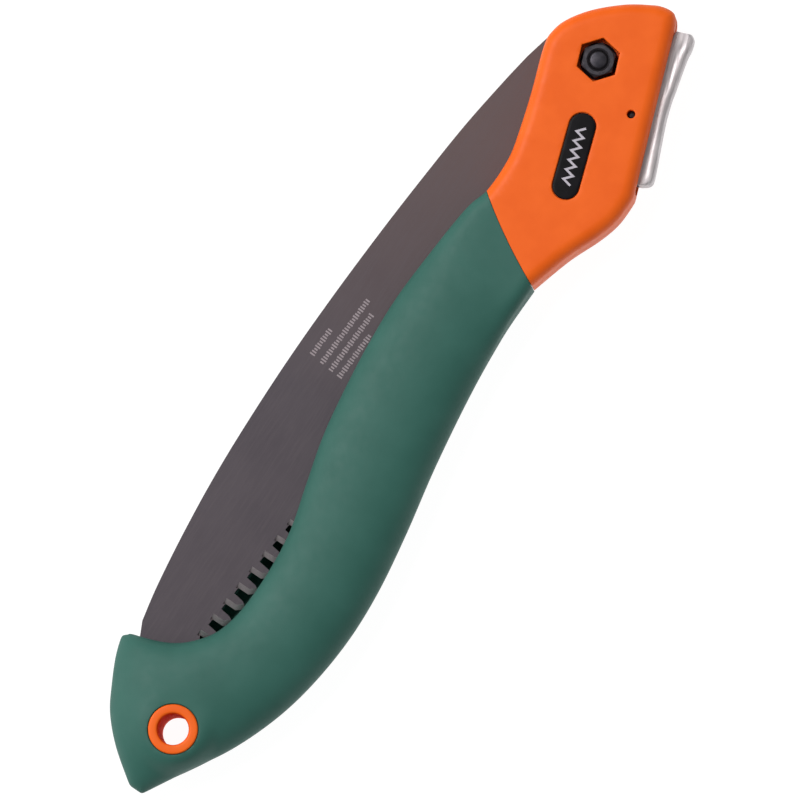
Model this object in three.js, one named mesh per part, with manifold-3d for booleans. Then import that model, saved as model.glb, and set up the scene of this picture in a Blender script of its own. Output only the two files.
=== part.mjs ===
// Folding pruning saw, folded shut: a curved blade lies in the slot of a two-shell grip, and turns
// on a bolt in a two-shell head. A sprung channel lever along the back of the head locks it.
//
// Millimetres, +Z up, lying on its rear side. Plans are drawn from the pivot axis: +X runs from the
// butt towards the head, +Y towards the blade's back, and Z counts from the middle of the slot.
// Front is the +Z side, rear the -Z side. The last step moves it all to the part's own frame.
import * as THREE from "three";
import { mergeVertices } from "three/addons/utils/BufferGeometryUtils.js";
import Module from "manifold-3d";

const wasm = await Module();
wasm.setup();

// ---- Driving dimensions ----
const GRIP_HALF = 12; // half thickness of the grip
const GRIP_ROUND = 3;
const HEAD_HALF = 10.5; // half thickness of the head
const HEAD_ROUND = 2.5;
const PARTING = 0.15; // half gap between the front and rear shells
const GAP = 0.3; // clearance between neighbouring pieces
const SLOT_HALF = 1.7; // half width of the blade's slot
const WALL = 3; // wall of the hollow grip
const FAR = 60; // reach of a cutter that runs out of the part

const BLADE_HALF = 0.75; // half thickness of the blade
const TOOTH_PITCH = 6.5;
const TOOTH_DEPTH = 6.2;
const TANG_R = 15.3;
const NOTCH_DEPTH = 2;
const OPEN_ANGLE = 152; // how far the blade swings
const LOCK_ANGLE = -75; // where the pawl meets the tang, in degrees about the pivot

const BOLT_R = 3;
const NUT_FLATS = 10;
const NUT_HEIGHT = 5;
const NUT_RECESS_R = 7.2; // to the recess's corners
const BOLT_HEAD_R = 5.5;
const CHEEK_HALF = 4.9; // floor of both pivot recesses, from mid-slot

const HEAD_TILT = THREE.MathUtils.degToRad(20.8); // the head's back edge against X
const BACK_EDGE = 21.4; // from the pivot axis to that edge
const LEVER_HALF = 4.8; // half width of the lever's channel
const LEVER_SHEET = 1.2;
const LEVER_PIN = [-14.8, 14.2]; // along and outwards from the pivot, in the tilted head frame
const PIN_R = 1.2;
const RIVET = [-20.5, 19.2]; // in the same frame
const RIVET_R = 1.5;
const PAWL_HALF = 1.3; // half thickness of the pawl
const SPRING_ALONG = -29.5;

const EYELET = [-253.5, -6.9];
const EYELET_BORE_R = 5;
const EYELET_TUBE_R = 6.3;
const FLANGE_R = 8;
const FLANGE_SEAT = 10.5; // from mid-slot to the flange's underside
const SCREWS = [[-88, -18.4], [-150, -21], [-222, -20]];
const SCREW_R = 1.2;
const SCREW_HEAD_R = 2.3;
const SCREW_SEAT = 6; // from mid-slot to the underside of the screw's head
const SCREW_REACH = 7; // from mid-slot to the screw's far end

const PLASTIC = { roughness: 0.45, metalness: 0 };
const ORANGE = new THREE.MeshStandardMaterial({ color: 0xf06a2a, ...PLASTIC });
const GREEN = new THREE.MeshStandardMaterial({ color: 0x35695c, roughness: 0.6, metalness: 0 });
const BLACK = new THREE.MeshStandardMaterial({ color: 0x101012, roughness: 0.3, metalness: 0 });
const COATED = new THREE.MeshStandardMaterial({ color: 0x544c50, roughness: 0.5, metalness: 0.6 });
const BRIGHT = new THREE.MeshStandardMaterial({ color: 0xc4bcbe, roughness: 0.3, metalness: 1 });
const BLUED = new THREE.MeshStandardMaterial({ color: 0x2b2e34, roughness: 0.4, metalness: 0.9 });
const NYLON = new THREE.MeshStandardMaterial({ color: 0xe8e4da, roughness: 0.5, metalness: 0 });

// ---- Building blocks ----

// A closed geometry as a solid that can be cut and joined.
function solid(geometry) {
  const bare = geometry.clone();
  bare.deleteAttribute("normal");
  bare.deleteAttribute("uv");
  const merged = mergeVertices(bare, 1e-4);
  const vertProperties = merged.attributes.position.array;
  const triVerts = new Uint32Array(merged.index.array);
  return new wasm.Manifold(new wasm.Mesh({ numProp: 3, vertProperties, triVerts }));
}

function geometryOf(made) {
  const { numProp, numVert, vertProperties, triVerts } = made.getMesh();
  const position = new Float32Array(numVert * 3);
  for (let i = 0; i < numVert; i++) {
    position.set(vertProperties.subarray(i * numProp, i * numProp + 3), i * 3);
  }
  const geometry = new THREE.BufferGeometry();
  geometry.setAttribute("position", new THREE.BufferAttribute(position, 3));
  geometry.setIndex(new THREE.BufferAttribute(triVerts, 1));
  const flat = geometry.toNonIndexed();
  flat.computeVertexNormals();
  return flat;
}

const vectors = (points) => points.map(([x, y]) => new THREE.Vector2(x, y));
const polar = (radius, degrees) => {
  const angle = THREE.MathUtils.degToRad(degrees);
  return [radius * Math.cos(angle), radius * Math.sin(angle)];
};

// The head's own plan frame: along its back edge and outwards from the pivot through that edge.
function headPoint([along, out]) {
  const [c, s] = [Math.cos(HEAD_TILT), Math.sin(HEAD_TILT)];
  return [along * c + out * s, along * s - out * c];
}

// Shapes with straight sides.
const polygon = (points) => new THREE.Shape(vectors(points));
const headPolygon = (points) => polygon(points.map(headPoint));

// A flat plate of a shape between two heights.
function plate(shape, low, high, curveSegments = 3) {
  const options = { depth: high - low, bevelEnabled: false, curveSegments };
  return solid(new THREE.ExtrudeGeometry(shape, options).translate(0, 0, low));
}

// A slab of a shape, as far above the mid-plane as below, with both faces' edges rounded.
function roundedSlab(shape, half, round, curveSegments = 3) {
  const options = {
    depth: 2 * (half - round),
    bevelThickness: round,
    bevelSize: round,
    bevelOffset: -round,
    bevelSegments: 3,
    curveSegments,
  };
  return solid(new THREE.ExtrudeGeometry(shape, options).translate(0, 0, round - half));
}

function rod([x, y], radius, low, high, sides = 24, turn = 0) {
  const geometry = new THREE.CylinderGeometry(radius, radius, high - low, sides);
  geometry.rotateX(Math.PI / 2).rotateZ(turn);
  return solid(geometry.translate(x, y, (low + high) / 2));
}

const ring = (centre, outer, inner, low, high, sides = 32) =>
  rod(centre, outer, low, high, sides).subtract(rod(centre, inner, low - 1, high + 1, sides));

// A turned piece on a vertical axis, from its half section [radius, height].
function turned([x, y], profile, sides = 32) {
  const geometry = new THREE.LatheGeometry(vectors(profile), sides);
  return solid(geometry.rotateX(Math.PI / 2).translate(x, y, 0));
}

function box(x0, x1, y0, y1, z0, z1) {
  const geometry = new THREE.BoxGeometry(x1 - x0, y1 - y0, z1 - z0);
  return solid(geometry.translate((x0 + x1) / 2, (y0 + y1) / 2, (z0 + z1) / 2));
}

const frontHalf = box(-400, 100, -100, 100, PARTING, 50);
const rearHalf = box(-400, 100, -100, 100, -50, -PARTING);

const group = new THREE.Group();
function add(name, made, material) {
  const mesh = new THREE.Mesh(geometryOf(made), material);
  mesh.name = name;
  group.add(mesh);
}

// ---- Plans ----

const SEAM_TOP = [-54.5, 6.6]; // where head and grip meet on the blade's side
const SEAM_FOOT = [-72, -22.7];

// Everything on one side of the seam between grip and head. Each outline runs on past it.
function besideSeam(far) {
  const shape = new THREE.Shape();
  shape.moveTo(far, -60);
  shape.lineTo(-90, -60);
  shape.lineTo(...SEAM_FOOT);
  shape.quadraticCurveTo(-64, -6, ...SEAM_TOP);
  shape.lineTo(-14, 60);
  shape.lineTo(far, 60);
  return plate(shape, -FAR, FAR, 6);
}

// A straight run to the first point, then a curve through the rest.
function lineThenCurve(shape, [first, ...rest]) {
  shape.lineTo(...first);
  shape.splineThru(vectors(rest));
}

const HEAD_LOWER = [SEAM_FOOT, [-58, -26.9], [-47, -31.5], [-39, -33.7], [-30.6, -33.9]];
const HEAD_END = [[25.6, -6.4], [20, 2.8], [12, 11.4], [4, 16.7], [-2.5, 18.1]];
const HEAD_UPPER = [[-8, 16.7], [-20, 12.5], [-32, 8.9], [-42, 6.6], SEAM_TOP, [-66, 9.4]];

function headOutline() {
  const shape = new THREE.Shape();
  shape.moveTo(-92, -18);
  lineThenCurve(shape, HEAD_LOWER);
  shape.lineTo(...headPoint([16.5, BACK_EDGE]));
  shape.quadraticCurveTo(27.6, -11, ...HEAD_END[0]);
  shape.splineThru(vectors(HEAD_END.slice(1)));
  lineThenCurve(shape, HEAD_UPPER);
  return shape;
}

// The grip's edge under the blade, from the head to the lip of the cup that holds the blade's tip.
const GRIP_UPPER = [
  [-44, 5.4], SEAM_TOP, [-62, 8.8], [-76, 10.4], [-98, 11.7], [-116, 10.9], [-133, 9], [-149, 6.4],
  [-165, 2.2], [-180, -1.8], [-195, -3.4], [-210, -3], [-220, -0.4], [-227, 4.8], [-231, 10],
  [-233.6, 16], [-235, 22],
];
// The rear shell's edge stands higher, so that it backs the teeth that the front shell leaves open.
const GRIP_UPPER_REAR = [
  ...GRIP_UPPER.slice(0, 6), [-133, 9.2], [-149, 7.4], [-165, 5.2], [-180, 3.4], [-195, 2.8],
  [-210, 3.9], [-220, 6], [-227, 8.8], [-231, 11.8], ...GRIP_UPPER.slice(-2),
];
const BUTT = [[-237.6, 24], [-244, 22.5], [-252, 18.8], [-260.2, 14], [-268.2, 6.3], [-276.1, -4.4]];
const GRIP_LOWER = [
  [-276.1, -9], [-262, -17], [-248, -25.1], [-232, -31.4], [-216, -35], [-198, -36.6], [-180, -35.8],
  [-160, -32.9], [-138, -28.8], [-116, -25.6], [-96, -23.5], [-82, -22.8], [-58, -23.4],
];

function gripOutline(upper) {
  const shape = new THREE.Shape();
  shape.moveTo(...GRIP_LOWER.at(-1));
  for (const run of [upper, BUTT, GRIP_LOWER]) lineThenCurve(shape, run);
  return shape;
}

// The height of a grip edge at one place along the grip.
function edgeAt(points, x) {
  const curve = new THREE.SplineCurve(vectors(points));
  const sampled = curve.getPoints(200);
  return sampled.reduce((a, b) => (Math.abs(b.x - x) < Math.abs(a.x - x) ? b : a)).y;
}

const BLADE_BACK = [
  [-20, 22.1], [-40, 24.8], [-62, 26.7], [-84, 28.2], [-110, 29.4], [-135, 29.9], [-160, 29.5],
  [-180, 28.5], [-200, 26.6], [-218, 24.2], [-230, 21.9],
];
const BLADE_TIP = [[-236.5, 18.8], [-239, 12.5], [-236.8, 6], [-230.5, -0.5]];
const GULLETS = new THREE.QuadraticBezierCurve(
  new THREE.Vector2(-230, 4.6),
  new THREE.Vector2(-150, -3.5),
  new THREE.Vector2(-34, -9.5),
);
const FIRST_GULLET = 5.3; // along that line, from the blade's tip
const TOOTH = [[0.17, 0], [0.22, 0.6], [0.6, 1], [0.8, 0.6], [0.83, 0]]; // in pitches and depths

function teeth() {
  const length = GULLETS.getLength();
  const count = Math.floor((length - FIRST_GULLET) / TOOTH_PITCH);
  const points = [];
  for (let i = 0; i < count; i++) {
    for (const [step, depth] of TOOTH) {
      const share = (FIRST_GULLET + (i + step) * TOOTH_PITCH) / length;
      const along = GULLETS.getTangentAt(share);
      const outwards = new THREE.Vector2(along.y, -along.x);
      points.push(GULLETS.getPointAt(share).addScaledVector(outwards, depth * TOOTH_DEPTH));
    }
  }
  return points;
}

// A notch that runs from the tang's rim down and back up to it, about one angle.
function notch(shape, angle, mouth = 7.5, floor = 5) {
  shape.lineTo(...polar(TANG_R - NOTCH_DEPTH, angle - floor));
  shape.lineTo(...polar(TANG_R - NOTCH_DEPTH, angle + floor));
  shape.lineTo(...polar(TANG_R, angle + mouth));
}

function tangArc(shape, from, to) {
  const [start, end] = [from, to].map(THREE.MathUtils.degToRad);
  shape.absarc(0, 0, TANG_R, start, end, false);
}

function bladeOutline() {
  const shape = new THREE.Shape();
  shape.moveTo(-2.5, 18.6);
  shape.splineThru(vectors(BLADE_BACK));
  shape.splineThru(vectors(BLADE_TIP));
  for (const { x, y } of teeth()) shape.lineTo(x, y);
  shape.lineTo(-29, -10.4);
  shape.lineTo(...polar(TANG_R, -113));
  tangArc(shape, -113, LOCK_ANGLE - 7.5);
  notch(shape, LOCK_ANGLE);
  tangArc(shape, LOCK_ANGLE + 7.5, LOCK_ANGLE + OPEN_ANGLE - 7.5);
  notch(shape, LOCK_ANGLE + OPEN_ANGLE);
  tangArc(shape, LOCK_ANGLE + OPEN_ANGLE + 7.5, 93);
  return shape;
}

// A capsule between two centres, for the badges and their recesses.
function capsule([x0, y0], [x1, y1], radius) {
  const shape = new THREE.Shape();
  const heading = Math.atan2(y1 - y0, x1 - x0);
  shape.absarc(x1, y1, radius, heading - Math.PI / 2, heading + Math.PI / 2, false);
  shape.absarc(x0, y0, radius, heading + Math.PI / 2, heading + 1.5 * Math.PI, false);
  return shape;
}

// ---- The head: two shells with a tongue that reaches into the grip ----

const BADGE_ENDS = [[-39.5, -14], [-20.6, -7.7]];
const BADGE_R = 4.3;
const BADGE_SEAT = HEAD_HALF - 0.8;
const TONGUE = [-100, -54, -21, 5]; // x0, x1, y0, y1
const TONGUE_LOW = SLOT_HALF + 0.2;
const TONGUE_HIGH = 4.2;

const bladeRoom = polygon([
  [-76, FAR], [-76, -16.5], [-29, -16.5], [-29, -FAR], [FAR, -FAR], [FAR, FAR],
]);
const leverRoom = headPolygon([
  [-38.5, FAR], [-38.5, 14.2], [-24, 14.2], [-21, 9.6], [-8.5, 9.6], [0, 16.6], [14.5, 19.4],
  [14.5, FAR],
]);

function headShell(side) {
  let head = roundedSlab(headOutline(), HEAD_HALF, HEAD_ROUND).intersect(besideSeam(100));
  for (const level of [-TONGUE_HIGH, TONGUE_LOW]) {
    head = head.add(box(...TONGUE, level, level + TONGUE_HIGH - TONGUE_LOW));
  }
  head = head
    .subtract(plate(bladeRoom, -SLOT_HALF, SLOT_HALF))
    .subtract(plate(leverRoom, -LEVER_HALF - GAP, LEVER_HALF + GAP))
    .subtract(rod([0, 0], BOLT_R + 0.2, -FAR, FAR))
    .subtract(rod([0, 0], NUT_RECESS_R, CHEEK_HALF, FAR, 6, HEAD_TILT))
    .subtract(rod([0, 0], BOLT_HEAD_R + 1.2, -FAR, -CHEEK_HALF, 32))
    .subtract(rod(headPoint(LEVER_PIN), PIN_R + 0.2, -FAR, FAR, 16));
  const badgeRoom = capsule(...BADGE_ENDS, BADGE_R + 0.2);
  head = head
    .subtract(plate(badgeRoom, BADGE_SEAT, FAR, 8))
    .subtract(plate(badgeRoom, -FAR, -BADGE_SEAT, 8))
    .subtract(rod(SCREWS[0], SCREW_R + GAP, -FAR, FAR, 16));
  return head.intersect(side);
}

function badge(low) {
  return plate(capsule(...BADGE_ENDS, BADGE_R), low, low + 0.9, 8);
}

// ---- The grip: two hollow shells with ribs, closed along the back and round the butt ----

const gripRoom = polygon([
  [-40, FAR], [-40, -16.8], [-76, -16.5], [-110, -14.2], [-150, -10.2], [-190, -6.6], [-220, -4.2],
  [-236, -2.6], [-243.5, 4], [-245, 12], [-245, FAR],
]);
const BAYS = [[-121, -104], [-143, -124], [-179, -157], [-204, -182], [-215, -207]];
const BAY_HALF = GRIP_HALF - WALL;

function bay([x0, x1]) {
  const steps = [0, 0.25, 0.5, 0.75, 1].map((t) => x0 + (x1 - x0) * t);
  const lower = steps.map((x) => [x, edgeAt(GRIP_LOWER, x) + WALL]);
  const upper = steps.map((x) => [x, edgeAt(GRIP_UPPER, x) - WALL]).reverse();
  return plate(polygon([...lower, ...upper]), -BAY_HALF, BAY_HALF);
}

function gripShell(side, upper) {
  const body = roundedSlab(gripOutline(upper), GRIP_HALF, GRIP_ROUND, 2);
  let grip = body.intersect(besideSeam(-400).translate(-GAP, 0, 0));
  grip = grip.subtract(plate(gripRoom, -SLOT_HALF, SLOT_HALF));
  const [x0, x1, y0, y1] = TONGUE;
  for (const level of [-TONGUE_HIGH - GAP, SLOT_HALF - 0.1]) {
    const high = level + TONGUE_HIGH + GAP - SLOT_HALF + 0.1;
    grip = grip.subtract(box(x0 - GAP, x1 + 20, y0 - GAP, y1 + GAP, level, high));
  }
  for (const range of BAYS) grip = grip.subtract(bay(range));
  for (const centre of SCREWS) {
    grip = grip
      .subtract(rod(centre, SCREW_R + 0.2, -FAR, SCREW_REACH + 0.4, 16))
      .subtract(rod(centre, SCREW_HEAD_R + GAP, -FAR, GAP - SCREW_SEAT, 24));
  }
  grip = grip
    .subtract(rod(EYELET, EYELET_TUBE_R + GAP, -FAR, FAR, 32))
    .subtract(rod(EYELET, FLANGE_R + GAP, FLANGE_SEAT - GAP, FAR, 32))
    .subtract(rod(EYELET, FLANGE_R + GAP, -FAR, GAP - FLANGE_SEAT, 32));
  return grip.intersect(side);
}

// The lanyard eyelet, trapped between the grip's shells by its flanges.
function eyelet() {
  const [face, soft] = [FLANGE_SEAT + 1.3, 0.6];
  const upper = [
    [EYELET_TUBE_R, FLANGE_SEAT], [FLANGE_R, FLANGE_SEAT], [FLANGE_R, face - soft],
    [FLANGE_R - soft, face], [EYELET_BORE_R + soft, face], [EYELET_BORE_R, face - 2 * soft],
  ];
  const lower = upper.map(([r, z]) => [r, -z]).reverse();
  return turned(EYELET, [...lower, ...upper, lower[0]]);
}

// A self-tapping screw, driven from the rear.
function caseScrew(centre) {
  const drive = rod(centre, 1.2, -FAR, -SCREW_SEAT - 0.9, 6);
  return rod(centre, SCREW_HEAD_R, -SCREW_SEAT - 2, -SCREW_SEAT, 24)
    .add(rod(centre, SCREW_R, -SCREW_SEAT - 0.1, SCREW_REACH, 12))
    .subtract(drive);
}

// ---- The pivot ----

function pivotBolt() {
  const [seat, top] = [-CHEEK_HALF - 1.4, 9.9];
  const head = rod([0, 0], BOLT_HEAD_R, seat - 3.6, seat, 32);
  const drive = rod([0, 0], 2.9, -FAR, seat - 1.4, 6);
  const shank = turned([0, 0], [[0, seat - 0.5], [BOLT_R, seat - 0.5], [BOLT_R, top - 0.6],
    [BOLT_R - 0.6, top], [0, top]]);
  return head.add(shank).subtract(drive);
}

function pivotNut() {
  const [low, corner] = [CHEEK_HALF + 0.1, NUT_FLATS / Math.sqrt(3)];
  const high = low + NUT_HEIGHT;
  const chamfer = [[0, low], [corner + 1, low], [corner + 1, high - 1.2], [corner - 1.1, high],
    [0, high]];
  return rod([0, 0], corner, low, high, 6, HEAD_TILT)
    .intersect(turned([0, 0], chamfer))
    .subtract(rod([0, 0], BOLT_R + 0.15, -FAR, FAR, 32));
}

// ---- The blade and its lock ----

const blade = () =>
  plate(bladeOutline(), -BLADE_HALF, BLADE_HALF, 4).subtract(rod([0, 0], 4.2, -FAR, FAR, 32));

// The lever's side: outer edge from tail to thumb end, then the flange's inner edge back.
const LEVER_OUTER = [
  [-35.8, 22.6], [-34.8, 24.9], [-33, 25.6], [-28, 25.5], [-15, 25], [-8, 25.2], [-3, 25.8], [7, 27],
  [10.5, 27.8], [13, 28], [14.6, 27.4],
];
const LEVER_INNER = [
  [15.2, 22.2], [13, 21.4], [4, 20], [-7, 17.4], [-10.6, 12.6], [-14.8, 10.6], [-19, 12.6],
  [-22, 17.4], [-34.6, 19.4],
];

function lockLever() {
  const side = headPolygon([...LEVER_OUTER, ...LEVER_INNER]);
  const lip = LEVER_OUTER.map(([along, out]) => [along, out - LEVER_SHEET]);
  const [tail, thumb] = [[-FAR, 21], [FAR, 36]];
  const channel = headPolygon([tail, ...lip, thumb, [FAR, -FAR], [-FAR, -FAR]]);
  const inside = LEVER_HALF - LEVER_SHEET;
  return plate(side, -LEVER_HALF, LEVER_HALF)
    .subtract(plate(channel, -inside, inside))
    .subtract(rod(headPoint(LEVER_PIN), PIN_R + 0.2, -FAR, FAR, 16))
    .subtract(rod(headPoint(RIVET), RIVET_R + 0.2, -FAR, FAR, 16));
}

function lockPawl() {
  const tip = TANG_R + GAP;
  const shape = headPolygon([
    [1.2, 19], [0.3, tip], [-2.2, tip], [-4, 17], [-10, 15.2], [-12.5, 11.9], [-16.5, 11.6],
    [-18.5, 14.6], [-24, 16.6], [-24, 22.6], [-2, 22.6],
  ]);
  return plate(shape, -PAWL_HALF, PAWL_HALF)
    .subtract(rod(headPoint(LEVER_PIN), PIN_R + 0.2, -FAR, FAR, 16))
    .subtract(rod(headPoint(RIVET), RIVET_R + 0.2, -FAR, FAR, 16));
}

// The lever's return spring, at its pressed length: a coil from the pocket's floor towards the tail.
class Coil extends THREE.Curve {
  getPoint(t) {
    const [turns, radius, foot, top] = [5, 2, 14.6, 20.6];
    const turn = 2 * Math.PI * turns * t;
    const out = foot + (top - foot) * t;
    const [x, y] = headPoint([SPRING_ALONG + radius * Math.cos(turn), out]);
    return new THREE.Vector3(x, y, radius * Math.sin(turn));
  }
}

function leverSpring() {
  const wire = new THREE.Shape();
  wire.absarc(0, 0, 0.32, 0, 2 * Math.PI, false);
  const options = { extrudePath: new Coil(), steps: 70, curveSegments: 3, bevelEnabled: false };
  return solid(new THREE.ExtrudeGeometry(wire, options));
}

// ---- Assembly ----

add("head_shell_front", headShell(frontHalf), ORANGE);
add("head_shell_rear", headShell(rearHalf), ORANGE);
add("grip_shell_front", gripShell(frontHalf, GRIP_UPPER), GREEN);
add("grip_shell_rear", gripShell(rearHalf, GRIP_UPPER_REAR), GREEN);
add("badge_front", badge(BADGE_SEAT + 0.05), BLACK);
add("badge_rear", badge(-BADGE_SEAT - 0.95), BLACK);
add("lanyard_eyelet", eyelet(), ORANGE);
SCREWS.forEach((centre, i) => add(`case_screw_${i + 1}`, caseScrew(centre), BLUED));

add("blade", blade(), COATED);
add("pivot_bolt", pivotBolt(), BLUED);
add("pivot_nut", pivotNut(), BLUED);
add("bolt_washer", ring([0, 0], 6, BOLT_R + 0.2, -CHEEK_HALF - 1.2, -CHEEK_HALF - 0.15), BLUED);
add("pivot_bushing", ring([0, 0], 4, BOLT_R + 0.2, -1.6, 1.6), BRIGHT);
add("thrust_washer_front", ring([0, 0], 8, 4.3, 0.9, 1.5), NYLON);
add("thrust_washer_rear", ring([0, 0], 8, 4.3, -1.5, -0.9), NYLON);

add("lock_lever", lockLever(), BRIGHT);
add("lock_pawl", lockPawl(), BRIGHT);
add("pawl_rivet", rod(headPoint(RIVET), RIVET_R, -LEVER_HALF, LEVER_HALF, 16), BRIGHT);
add("lever_pin", rod(headPoint(LEVER_PIN), PIN_R, 1.2 - HEAD_HALF, HEAD_HALF - 1.2, 16), BLUED);
add("lever_spring", leverSpring(), BRIGHT);

// The part's frame starts at the middle of the underside of everything's box.
const bounds = new THREE.Box3().setFromObject(group);
const middle = bounds.getCenter(new THREE.Vector3());
group.position.set(-middle.x, -middle.y, -bounds.min.z);

export default group;
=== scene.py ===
"""Looks of the folding pruning saw: moulded shells, ground and coated blade, pressed steel lever.

Plans are drawn in millimetres from the pivot axis, as the frame's own: +X from the butt towards the
head, +Y towards the blade's back, and Z from the middle of the blade's slot. Front is the +Z side.
"""
import math

import bmesh
import bpy
import numpy as np
from mathutils import Matrix, Vector
from mathutils.geometry import delaunay_2d_cdt

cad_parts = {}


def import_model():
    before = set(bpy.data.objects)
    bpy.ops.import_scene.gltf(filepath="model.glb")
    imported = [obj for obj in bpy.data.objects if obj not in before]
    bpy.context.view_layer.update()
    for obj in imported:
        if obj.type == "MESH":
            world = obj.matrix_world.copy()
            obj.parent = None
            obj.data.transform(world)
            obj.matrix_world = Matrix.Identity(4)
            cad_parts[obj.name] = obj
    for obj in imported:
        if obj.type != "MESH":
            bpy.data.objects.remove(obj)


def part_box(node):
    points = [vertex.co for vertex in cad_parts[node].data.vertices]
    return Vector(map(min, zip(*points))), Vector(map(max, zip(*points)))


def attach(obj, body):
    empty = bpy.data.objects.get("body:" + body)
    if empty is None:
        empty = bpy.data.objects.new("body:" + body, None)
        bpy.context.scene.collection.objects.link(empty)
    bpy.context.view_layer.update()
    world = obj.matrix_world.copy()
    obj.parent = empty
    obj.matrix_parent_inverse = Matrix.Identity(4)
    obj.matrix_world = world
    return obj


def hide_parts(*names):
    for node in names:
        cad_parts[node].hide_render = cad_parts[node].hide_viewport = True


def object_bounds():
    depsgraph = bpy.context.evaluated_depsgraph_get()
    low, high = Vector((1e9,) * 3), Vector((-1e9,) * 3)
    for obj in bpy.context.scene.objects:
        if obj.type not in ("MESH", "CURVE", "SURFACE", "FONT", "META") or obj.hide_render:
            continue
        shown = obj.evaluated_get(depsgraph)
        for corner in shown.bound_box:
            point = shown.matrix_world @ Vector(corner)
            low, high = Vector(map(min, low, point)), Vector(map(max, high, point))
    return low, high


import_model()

CAD_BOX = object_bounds()
MM = 0.001


def middle(node):
    """The middle of a CAD node's box, in metres."""
    low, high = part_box(node)
    return (low + high) / 2


PIVOT = middle("pivot_bushing")
AXIS = (0, 0)  # the pivot's axis in the plan
HEAD_TILT = math.radians(20.8)  # of the head's back edge against the frame's X

GRIP_HALF, HEAD_HALF = 12.0, 10.5  # half thicknesses
PARTING = 0.15  # from the middle to a shell's flat side
SLOT_HALF = 1.7
BLADE_HALF = 0.75
FAR = 60.0  # past every surface, for cutters
SLIVER = 0.0005  # the widest sliver that is merged away


# ---- plan geometry ----

def head_point(along, out):
    """The head's plan frame: along its back edge, and outwards from the pivot through that edge."""
    c, s = math.cos(HEAD_TILT), math.sin(HEAD_TILT)
    return along * c + out * s, along * s - out * c


def polar(radius, degrees):
    """A plan point by its distance from the pivot and its direction."""
    return radius * math.cos(math.radians(degrees)), radius * math.sin(math.radians(degrees))


def curve(points, step=0.8):
    """A smooth run through the points, with a sample about every step."""
    p = np.array(points, float)
    padded = np.vstack([p[0], p, p[-1]])
    run = []
    for a, b, c, d in zip(padded, padded[1:], padded[2:], padded[3:]):
        count = max(2, int(np.linalg.norm(c - b) / step))
        for t in np.arange(count) / count:
            run.append(
                0.5 * (2 * b + (c - a) * t + (2 * a - 5 * b + 4 * c - d) * t**2
                       + (3 * b - a - 3 * c + d) * t**3)
            )
    return [tuple(q) for q in run] + [tuple(p[-1])]


def resample(points, step):
    """A closed outline with its corners kept off a fixed step, so that it can be softened evenly."""
    p = np.array(points, float)
    p = np.vstack([p, p[:1]])
    lengths = np.r_[0, np.cumsum(np.linalg.norm(np.diff(p, axis=0), axis=1))]
    places = np.linspace(0, lengths[-1], int(lengths[-1] / step) + 1)[:-1]
    return np.column_stack([np.interp(places, lengths, p[:, k]) for k in (0, 1)])


def softened(points, step, passes):
    """The outline with its corners rounded."""
    p = resample(points, step)
    for _ in range(passes):
        p = p * 0.5 + (np.roll(p, 1, 0) + np.roll(p, -1, 0)) * 0.25
    return p


def circle(centre, radius, count=48, turn=0.0):
    angles = turn + np.arange(count) * 2 * math.pi / count
    return np.column_stack([centre[0] + radius * np.cos(angles), centre[1] + radius * np.sin(angles)])


def capsule(first, last, radius):
    """The outline of a bar with round ends."""
    a, b = np.array(first), np.array(last)
    heading = math.atan2(*(b - a)[::-1])
    half = np.linspace(-math.pi / 2, math.pi / 2, 16)
    ends = []
    for centre, start in ((b, heading), (a, heading + math.pi)):
        ends.append(np.column_stack([centre[0] + radius * np.cos(start + half),
                                     centre[1] + radius * np.sin(start + half)]))
    return np.vstack(ends)


def quarter(steps, first=0):
    """1 - cos and 1 - sin over a quarter turn, from (0, 1) to (1, 0)."""
    for k in range(first, steps + 1):
        turn = math.pi / 2 * k / steps
        yield 1 - math.cos(turn), 1 - math.sin(turn)


def edge_distance(points, outline, batch=2000):
    """How far each point is from the closed outline."""
    a, b = outline, np.roll(outline, -1, 0)
    ab = b - a
    square = (ab**2).sum(1)
    nearest = np.empty(len(points))
    for start in range(0, len(points), batch):
        p = points[start:start + batch, None, :]
        t = np.clip(((p - a) * ab).sum(2) / square, 0, 1)
        nearest[start:start + batch] = np.sqrt((((a + t[..., None] * ab) - p) ** 2).sum(2).min(1))
    return nearest


def inside(points, outline):
    """Which points lie inside the closed outline."""
    a, b = outline, np.roll(outline, -1, 0)
    x, y = points[:, :1], points[:, 1:]
    crosses = (a[:, 1] > y) != (b[:, 1] > y)
    with np.errstate(divide="ignore", invalid="ignore"):
        where = (b[:, 0] - a[:, 0]) * (y - a[:, 1]) / (b[:, 1] - a[:, 1]) + a[:, 0]
    return (crosses & (x < where)).sum(1) % 2 == 1


# ---- mesh building ----

def mesh_object(name, vertices, faces, material=None):
    """An object whose vertices are given in millimetres in the plan frame."""
    mesh = bpy.data.meshes.new(name)
    placed = [PIVOT + Vector(v) * MM for v in vertices]
    mesh.from_pydata(placed, [], [list(f) for f in faces])
    mesh.validate()
    made = bmesh.new()
    made.from_mesh(mesh)
    bmesh.ops.recalc_face_normals(made, faces=made.faces)
    made.to_mesh(mesh)
    made.free()
    obj = bpy.data.objects.new(name, mesh)
    bpy.context.scene.collection.objects.link(obj)
    if material:
        mesh.materials.append(material)
    return obj


def without_slivers(obj):
    """Merges the corners that a cut has left too close together."""
    made = bmesh.new()
    made.from_mesh(obj.data)
    bmesh.ops.dissolve_degenerate(made, dist=SLIVER * MM, edges=made.edges)
    made.to_mesh(obj.data)
    made.free()


def smooth(obj, degrees):
    """Shades the object smooth, apart from edges sharper than that angle."""
    mesh = obj.data
    mesh.polygons.foreach_set("use_smooth", [True] * len(mesh.polygons))
    mesh.set_sharp_from_angle(angle=math.radians(degrees))
    return obj


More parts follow.
